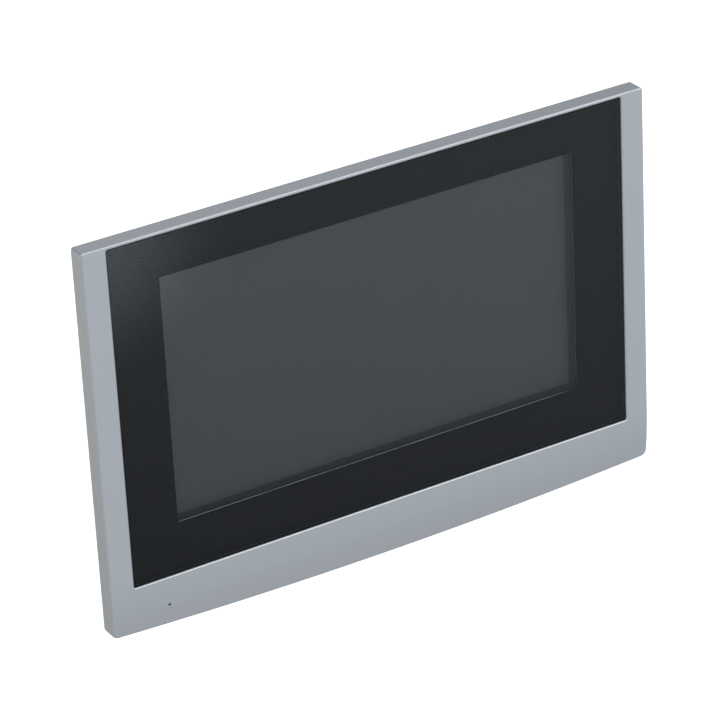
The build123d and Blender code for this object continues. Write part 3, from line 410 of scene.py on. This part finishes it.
# small rounding on the hard edges of the moulded, punched and machined nodes, in millimetres
edgeRounding = {
    "rear_cover": 0.22, "wall_bracket": 0.18, "wall_pads": 0.12, "main_board": 0.05, "wire_headers": 0.12,
    "dip_switch": 0.12, "reset_switch": 0.08, "lead_sockets": 0.10, "flex_sockets": 0.06,
    "battery_holder": 0.12, "card_socket": 0.10, "memory_card": 0.06, "panel_tray": 0.15,
    "panel_bezel": 0.08, "panel_clamps": 0.10,
    "light_guide": 0.10, "speaker_basket": 0.15, "speaker_magnet": 0.12, "microphone_boot": 0.15,
    "microphone_capsule": 0.08, "memory_chips": 0.08, "power_inductors": 0.12, "board_capacitors": 0.25,
    "chip_capacitors": 0.05, "header_pins": 0.06, "rear_screws": 0.05, "board_screws": 0.05,
    "clamp_screws": 0.04,
}


def roundEdges(name, width):
    node = nodes[name]
    weld = node.modifiers.new("weld", "WELD")
    weld.merge_threshold = 0.002 * mm
    flatten = node.modifiers.new("flatten", "DECIMATE")
    flatten.decimate_type = "DISSOLVE"
    flatten.angle_limit = math.radians(0.5)
    bevel = node.modifiers.new("rounding", "BEVEL")
    bevel.width = width * mm
    bevel.segments = 2
    bevel.limit_method = "ANGLE"
    bevel.angle_limit = math.radians(40)
    bevel.use_clamp_overlap = True
    bevel.harden_normals = True


for nodeName, width in edgeRounding.items():
    roundEdges(nodeName, width)
print("stage 3: finishes and rounded edges")


# mesh helpers: an outline is a list of (x, z), drawn anticlockwise as seen from in front

def meshPiece(name, form, paints, body="monitor", sharpAngle=35):
    mesh = bpy.data.meshes.new(name)
    form.to_mesh(mesh)
    form.free()
    for paint in paints:
        mesh.materials.append(finishes[paint])
    piece = bpy.data.objects.new(name, mesh)
    bpy.context.scene.collection.objects.link(piece)
    mesh.shade_smooth()
    mesh.set_sharp_from_angle(angle=math.radians(sharpAngle))
    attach(piece, body)
    return piece


def roundedOutline(low, high, radius, steps=8):
    points = []
    corners = ((high.x, high.z, 0), (low.x, high.z, 90), (low.x, low.z, 180), (high.x, low.z, 270))
    for x, z, start in corners:
        centreX = x - math.copysign(radius, x - (low.x + high.x) / 2)
        centreZ = z - math.copysign(radius, z - (low.z + high.z) / 2)
        for i in range(steps + 1):
            turn = math.radians(start + 90 * i / steps)
            points.append((centreX + radius * math.cos(turn), centreZ + radius * math.sin(turn)))
    return points


def racetrack(centre, width, height, steps=20):
    # two half rounds joined by straight sides
    reach = (width - height) / 2
    points = []
    for side, start in ((1, -90), (-1, 90)):
        for i in range(steps + 1):
            turn = math.radians(start + 180 * i / steps)
            points.append((centre[0] + side * reach + height / 2 * math.cos(turn),
                           centre[1] + height / 2 * math.sin(turn)))
    return points


def skin(form, rings, closed=False, capFirst=False, capLast=False, paint=0):
    # joins rings of equal count with quads; each ring is a list of (x, y, z)
    loops = [[form.verts.new(point) for point in ring] for ring in rings]
    pairs = list(zip(loops, loops[1:]))
    if closed:
        pairs.append((loops[-1], loops[0]))
    for first, second in pairs:
        count = len(first)
        for i in range(count):
            j = (i + 1) % count
            face = form.faces.new((first[i], first[j], second[j], second[i]))
            face.material_index = paint
    if capFirst:
        form.faces.new(list(reversed(loops[0]))).material_index = paint
    if capLast:
        form.faces.new(loops[-1]).material_index = paint


def level(outline, y):
    return [(x, y, z) for x, z in outline]


def bevelledPlate(low, high, radius, bevel, steps=3):
    # a flat plate with rounded corners and rounded or ground rims front and back
    form = bmesh.new()
    rings = []
    leastRadius = 0.01 * mm
    up = [i / steps for i in range(steps + 1)]
    for face, way, shares in ((low.y, 1, up), (high.y, -1, reversed(up))):
        for share in shares:
            turn = math.pi / 2 * share
            inset = bevel * (1 - math.sin(turn))
            shift = Vector((inset, 0, inset))
            outline = roundedOutline(low + shift, high - shift, max(radius - inset, leastRadius))
            rings.append(level(outline, face + way * bevel * (1 - math.cos(turn))))
    skin(form, rings, capFirst=True, capLast=True)
    bmesh.ops.recalc_face_normals(form, faces=form.faces)
    return form


# cover glass: ground rim, a mirror on its front face only

glassSettings = {"cornerRadius": 0.75 * mm, "groundRim": 0.16 * mm}


def makeCoverGlass(settings):
    form = bevelledPlate(glassLow, glassHigh, settings["cornerRadius"], settings["groundRim"], steps=2)
    for face in form.faces:
        if face.normal.y < -0.1:
            face.material_index = 0
        elif face.normal.y > 0.1:
            face.material_index = 1
        else:
            face.material_index = 2
    glass = meshPiece("coverGlass", form, ("glassFace", "glassInside", "glassEdge"), sharpAngle=15)
    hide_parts("cover_glass")


makeCoverGlass(glassSettings)


# touch sensor: bonded to the glass in front, so only its rear face shines

def makeTouchSensor():
    low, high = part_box("touch_sensor")
    form = bevelledPlate(low, high, 0.6 * mm, 0.03 * mm, steps=1)
    for face in form.faces:
        face.material_index = 1 if face.normal.y > 0.5 else 0
    sensor = meshPiece("touchSensor", form, ("glassInside", "sensorBack"))
    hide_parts("touch_sensor")


makeTouchSensor()

# display cell: two glasses with the terminal ledge below, the lit area framed by a black mask

displaySettings = {
    "activeWidth": 154.08 * mm,
    "activeHeight": 85.92 * mm,
    "ledge": 3.2 * mm,  # how far the rear glass runs past the front one, at the bottom
    "rim": 0.08 * mm,
}


def makeDisplayCell(settings):
    low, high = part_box("display_cell")
    centreX = (low.x + high.x) / 2
    centreZ = (low.z + high.z) / 2
    middle = (low.y + high.y) / 2
    frontLow = Vector((low.x, low.y, low.z + settings["ledge"]))
    frontHigh = Vector((high.x, middle, high.z))
    front = bevelledPlate(frontLow, frontHigh, 0.3 * mm, settings["rim"], steps=1)
    for face in list(front.faces):
        if face.normal.y < -0.99:
            front.faces.remove(face)
    rim = [v for v in front.verts if v.co.y < low.y + 0.001 * mm]
    rim.sort(key=lambda v: math.atan2(v.co.z - centreZ, v.co.x - centreX))
    halfWidth = settings["activeWidth"] / 2
    halfHeight = settings["activeHeight"] / 2
    inner = []
    for v in rim:
        x = min(max(v.co.x, centreX - halfWidth), centreX + halfWidth)
        z = min(max(v.co.z, centreZ - halfHeight), centreZ + halfHeight)
        inner.append(front.verts.new((x, low.y, z)))
    count = len(rim)
    for i in range(count):
        j = (i + 1) % count
        front.faces.new((rim[i], rim[j], inner[j], inner[i])).material_index = 1
    active = front.faces.new(inner)
    active.material_index = 2
    bmesh.ops.remove_doubles(front, verts=front.verts, dist=0.005 * mm)
    bmesh.ops.recalc_face_normals(front, faces=front.faces)
    rear = bevelledPlate(Vector((low.x, middle, low.z)), high, 0.3 * mm, settings["rim"], steps=1)
    for part, name in ((front, "displayFrontGlass"), (rear, "displayRearGlass")):
        piece = meshPiece(name, part, ("displayGlassEdge", "displayMask", "displayFace"))
        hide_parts("display_cell")


makeDisplayCell(displaySettings)

# speaker: paper cone with its voice coil, and the half-round rubber surround

coneSettings = {
    # share of the way in from the cone's edge, share of the depth towards the coil
    "profile": ((0.00, 0.00), (0.06, 0.02), (0.30, 0.30), (0.58, 0.64), (0.80, 0.92), (0.86, 1.00)),
    "capProfile": ((1.00, 1.00), (0.98, 0.86), (0.85, 0.72), (0.60, 0.60), (0.30, 0.54), (0.06, 0.52)),
    "depth": 0.5 * mm,
    "paper": 0.15 * mm,
    "coilRadius": 4.3 * mm,
    "coilWall": 0.3 * mm,
}


def turnedRing(centre, radius, y, count=42, start=-90):
    # by default as many points as a racetrack ring has, from the same side
    points = []
    for i in range(count):
        turn = math.radians(start) + 2 * math.pi * i / count
        points.append((centre[0] + radius * math.cos(turn), y, centre[1] + radius * math.sin(turn)))
    return points


def between(a, b, share, y):
    # an (x, z) point and an (x, y, z) point, mixed at height y
    return (a[0] + (b[0] - a[0]) * share, y, a[1] + (b[2] - a[1]) * share)


def makeSpeakerCone(settings):
    low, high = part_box("speaker_cone")
    centre = ((low.x + high.x) / 2, (low.z + high.z) / 2)
    outer = racetrack(centre, high.x - low.x, high.z - low.z)
    radius = settings["coilRadius"]
    inner = turnedRing(centre, radius, 0)
    back = []
    for share, drop in settings["profile"]:
        y = high.y - drop * settings["depth"]
        back.append([between(a, b, share, y) for a, b in zip(outer, inner)])
    for share, drop in settings["capProfile"]:
        back.append(turnedRing(centre, radius * share, high.y - drop * settings["depth"]))
    front = [[(x, y - settings["paper"], z) for x, y, z in ring] for ring in back]
    form = bmesh.new()
    skin(form, front[::-1] + back, capFirst=True, capLast=True)
    top = high.y - settings["depth"] - settings["paper"] / 2
    coil = [turnedRing(centre, radius, top),
            turnedRing(centre, radius, low.y),
            turnedRing(centre, radius - settings["coilWall"], low.y),
            turnedRing(centre, radius - settings["coilWall"], top)]
    skin(form, coil, closed=True, paint=1)
    bmesh.ops.recalc_face_normals(form, faces=form.faces)
    cone = meshPiece("speakerCone", form, ("blackPaper", "copperCoil"), body="cone")
    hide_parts("speaker_cone")


makeSpeakerCone(coneSettings)


def makeSurround(settings):
    low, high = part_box("speaker_surround")
    centre = ((low.x + high.x) / 2, (low.z + high.z) / 2)
    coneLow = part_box("speaker_cone")[0]
    band = coneLow.x - low.x - settings["gap"]  # width of the ring between basket and cone
    form = bmesh.new()
    rings = []
    steps = settings["steps"]
    thick = settings["rubber"]
    for y, order in ((low.y + thick, range(steps + 1)), (low.y, range(steps, -1, -1))):
        for i in order:
            share = i / steps
            inset = band * share
            lift = math.sin(math.pi * share) * (high.y - low.y - thick)
            outline = racetrack(centre, high.x - low.x - 2 * inset, high.z - low.z - 2 * inset)
            rings.append(level(outline, y + lift))
    skin(form, rings, closed=True)
    bmesh.ops.recalc_face_normals(form, faces=form.faces)
    surround = meshPiece("speakerSurround", form, ("blackRubber",))
    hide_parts("speaker_surround")


surroundSettings = {"steps": 8, "rubber": 0.12 * mm, "gap": 0.05 * mm}
makeSurround(surroundSettings)
print("stage 4: glass, display and speaker")

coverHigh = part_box("rear_cover")[1]
boardLow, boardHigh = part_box("main_board")


def addBox(form, low, high, paint=0):
    spans = list(zip(low, high))
    corners = [form.verts.new((x, y, z)) for x in spans[0] for y in spans[1] for z in spans[2]]
    for face in ((0, 1, 3, 2), (4, 6, 7, 5), (0, 4, 5, 1), (2, 3, 7, 6), (0, 2, 6, 4), (1, 5, 7, 3)):
        form.faces.new([corners[i] for i in face]).material_index = paint


def addTurned(form, centre, profile, steps=28):
    # profile: (radius, y) from one end of the axis to the other
    rings = [turnedRing(centre, radius, y, steps, start=0) for radius, y in profile]
    skin(form, rings, capFirst=True, capLast=True)


# rating label on the rear cover: bars stand where the lines of print would be

labelSettings = {
    "centre": (-76 * mm, 6 * mm),
    "width": 27 * mm,
    "height": 36 * mm,
    "thick": 0.09 * mm,
    "cornerRadius": 1.5 * mm,
    "edge": 0.03 * mm,
    "inset": 1.2 * mm,  # paper's edge to the frame line, and frame line to print
    "line": 0.2 * mm,
    "print": 0.012 * mm,
    "bars": (0.62, 0.88, 0.74, 0.80, 0.55, 0.70),  # lengths, as shares of the label's printed width
    "barHeight": 1.1 * mm,
    "barPitch": 2.6 * mm,
    "cells": 11,  # cells along one side of the square code
    "cell": 0.8 * mm,
    "seed": 7,
}


def makeLabel(settings):
    x, z = settings["centre"]
    halfWidth = settings["width"] / 2
    halfHeight = settings["height"] / 2
    back = coverHigh.y + settings["thick"]
    form = bevelledPlate(Vector((x - halfWidth, coverHigh.y, z - halfHeight)),
                         Vector((x + halfWidth, back, z + halfHeight)),
                         settings["cornerRadius"], settings["edge"], steps=1)
    inset = settings["inset"]
    line = settings["line"]
    raised = back + settings["print"]
    left, right = x - halfWidth + inset, x + halfWidth - inset
    bottom, top = z - halfHeight + inset, z + halfHeight - inset
    for low, high in (((left, bottom), (right, bottom + line)), ((left, top - line), (right, top)),
                      ((left, bottom), (left + line, top)), ((right - line, bottom), (right, top))):
        addBox(form, (low[0], back, low[1]), (high[0], raised, high[1]), paint=1)
    room = right - left - 2 * inset
    for i, share in enumerate(settings["bars"]):
        barTop = top - inset - i * settings["barPitch"]
        # read from behind, lines begin at the high X side
        addBox(form, (right - inset - share * room, back, barTop - settings["barHeight"]),
               (right - inset, raised, barTop), paint=1)
    draw = random.Random(settings["seed"])
    cell = settings["cell"]
    last = settings["cells"] - 1
    for row in range(settings["cells"]):
        for column in range(settings["cells"]):
            onEdge = row in (0, last) or column in (0, last)
            if onEdge or draw.random() < 0.5:
                cellLeft = left + inset + column * cell
                cellLow = bottom + inset + row * cell
                addBox(form, (cellLeft, back, cellLow), (cellLeft + cell, raised, cellLow + cell), paint=1)
    bmesh.ops.recalc_face_normals(form, faces=form.faces)
    label = meshPiece("ratingLabel", form, ("labelPaper", "labelPrint"))


makeLabel(labelSettings)


# copper under the solder mask, and plated holes where the tracks change side

traceSettings = {
    "count": 150,
    "width": 0.28 * mm,
    "proud": 0.03 * mm,
    "via": 0.45 * mm,
    "viaHole": 0.45,  # as a share of the via's radius
    "pitch": 1.27 * mm,
    "margin": 6 * mm,  # kept clear along the board's top and bottom
    "halfWidth": 60 * mm,
    "step": 0.0001 * mm,
    "seed": 21,
}


def makeTraces(settings):
    draw = random.Random(settings["seed"])
    form = bmesh.new()
    halfTrack = settings["width"] / 2
    y0 = boardHigh.y
    y1 = boardHigh.y + settings["proud"]
    pitch = settings["pitch"]
    bottom = boardLow.z + settings["margin"]
    top = boardHigh.z - settings["margin"]
    halfWidth = settings["halfWidth"]
    for _ in range(settings["count"]):
        y1 += settings["step"]  # so that no two runs share a face where they meet or cross
        x = round(draw.uniform(-halfWidth, halfWidth) / pitch) * pitch
        z = round(draw.uniform(bottom, top) / pitch) * pitch
        runX = draw.choice((-1, 1)) * draw.randint(3, 12) * pitch
        runZ = draw.choice((-1, 1)) * draw.randint(2, 9) * pitch
        farX = min(max(x + runX, -halfWidth), halfWidth)
        farZ = min(max(z + runZ, bottom), top)
        addBox(form, (min(x, farX) - halfTrack, y0, z - halfTrack),
               (max(x, farX) + halfTrack, y1, z + halfTrack))
        y1 += settings["step"]
        addBox(form, (farX - halfTrack, y0, min(z, farZ) - halfTrack),
               (farX + halfTrack, y1, max(z, farZ) + halfTrack))
        for place in ((x, z), (farX, farZ)):
            addVia(form, place, settings, y0, y1 + settings["proud"])
    bmesh.ops.recalc_face_normals(form, faces=form.faces)
    traces = meshPiece("boardTracks", form, ("traceGreen", "goldContact"))


def addVia(form, centre, settings, front, back, steps=10):
    outer = settings["via"]
    hole = outer * settings["viaHole"]
    profile = ((outer, front), (outer, back), (hole, back), (hole, front))
    rings = [turnedRing(centre, radius, y, steps, start=0) for radius, y in profile]
    skin(form, rings, closed=True, paint=1)


makeTraces(traceSettings)

# aluminium cans: crimped above a black foot, with the dark sector that marks the minus side

canSettings = {
    "rows": (16, 8, 0, -8),
    "column": -66,
    "foot": 0.8 * mm,
    "groove": 0.22 * mm,
    "footRim": 0.1 * mm,  # how far the foot stands out past the can
    "topRound": 0.25 * mm,  # the top's round is cut as two slopes
    "topCut": 0.08 * mm,  # where they meet
    "markInset": 0.3 * mm,
    "markStart": 130,  # degrees
    "markSweep": 100,
    "markThick": 0.01 * mm,
}


def addMark(form, centre, radius, y, settings, steps=9):
    # a thin filled arc, as wide as the sweep
    ring = []
    for i in range(steps + 1):
        turn = math.radians(settings["markStart"] + settings["markSweep"] * i / steps)
        place = (centre[0] + radius * math.cos(turn), y, centre[1] + radius * math.sin(turn))
        ring.append(form.verts.new(place))
    top = bmesh.ops.extrude_face_region(form, geom=[form.faces.new(ring)])["geom"]
    for vert in top:
        if isinstance(vert, bmesh.types.BMVert):
            vert.co.y += settings["markThick"]
    for vert in ring:
        for face in vert.link_faces:
            face.material_index = 2
    for element in top:
        if isinstance(element, bmesh.types.BMFace):
            element.material_index = 2


def makeCans(settings):
    low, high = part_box("board_capacitors")
    radius = (high.x - low.x) / 2
    form = bmesh.new()
    foot = low.y + settings["foot"]
    groove = settings["groove"]
    body = radius - settings["footRim"]
    topRound = settings["topRound"]
    topCut = settings["topCut"]
    profile = ((body, foot), (body, foot + groove), (body - groove, foot + 2 * groove),
               (body, foot + 3 * groove), (body, high.y - topRound),
               (body - topCut, high.y - topCut), (body - topRound, high.y))
    for row in settings["rows"]:
        x, z = settings["column"] * mm, row * mm
        addBox(form, (x - radius, low.y, z - radius), (x + radius, foot, z + radius), paint=1)
        addTurned(form, (x, z), profile)
        addMark(form, (x, z), body - settings["markInset"], high.y, settings)
    bmesh.ops.recalc_face_normals(form, faces=form.faces)
    cans = meshPiece("capacitorCans", form, ("canAluminium", "blackPackage", "labelPrint"))
    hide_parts("board_capacitors")


makeCans(canSettings)

# gull-wing legs along both long sides of each memory chip

legSettings = {
    "chips": ((10, 22), (10, 32)),  # centre across and up
    "height": 8.0 * mm,  # of the package, between its two rows of legs
    "count": 12,
    "pitch": 0.8 * mm,
    "width": 0.35 * mm,
    "thick": 0.14 * mm,
    "rootIn": 0.1 * mm,  # how far a leg starts inside the package
    "bendTop": 0.25 * mm,
    "bendFoot": 0.42 * mm,
    "reach": 0.9 * mm,
    "rise": 0.5 * mm,
}


def makeLegs(settings):
    form = bmesh.new()
    front = boardHigh.y
    thick = settings["thick"]
    half = settings["width"] / 2
    # from the package out and down to the board: (distance from its wall, height off the board)
    line = ((-settings["rootIn"], settings["rise"]), (settings["bendTop"], settings["rise"]),
            (settings["bendFoot"], 0.0), (settings["reach"], 0.0))
    for chipX, chipZ in settings["chips"]:
        for side in (1, -1):
            wall = chipZ * mm + side * settings["height"] / 2
            for i in range(settings["count"]):
                x = chipX * mm + (i - (settings["count"] - 1) / 2) * settings["pitch"]
                rings = []
                for out, up in line:
                    z = wall + side * out
                    y = front + up
                    rings.append([(x - half, y, z), (x + half, y, z),
                                  (x + half, y + thick, z), (x - half, y + thick, z)])
                skin(form, rings, capFirst=True, capLast=True)
    bmesh.ops.recalc_face_normals(form, faces=form.faces)
    legs = meshPiece("memoryLegs", form, ("tinnedLead",))


makeLegs(legSettings)
print("stage 5: label, tracks, capacitors and chip legs")
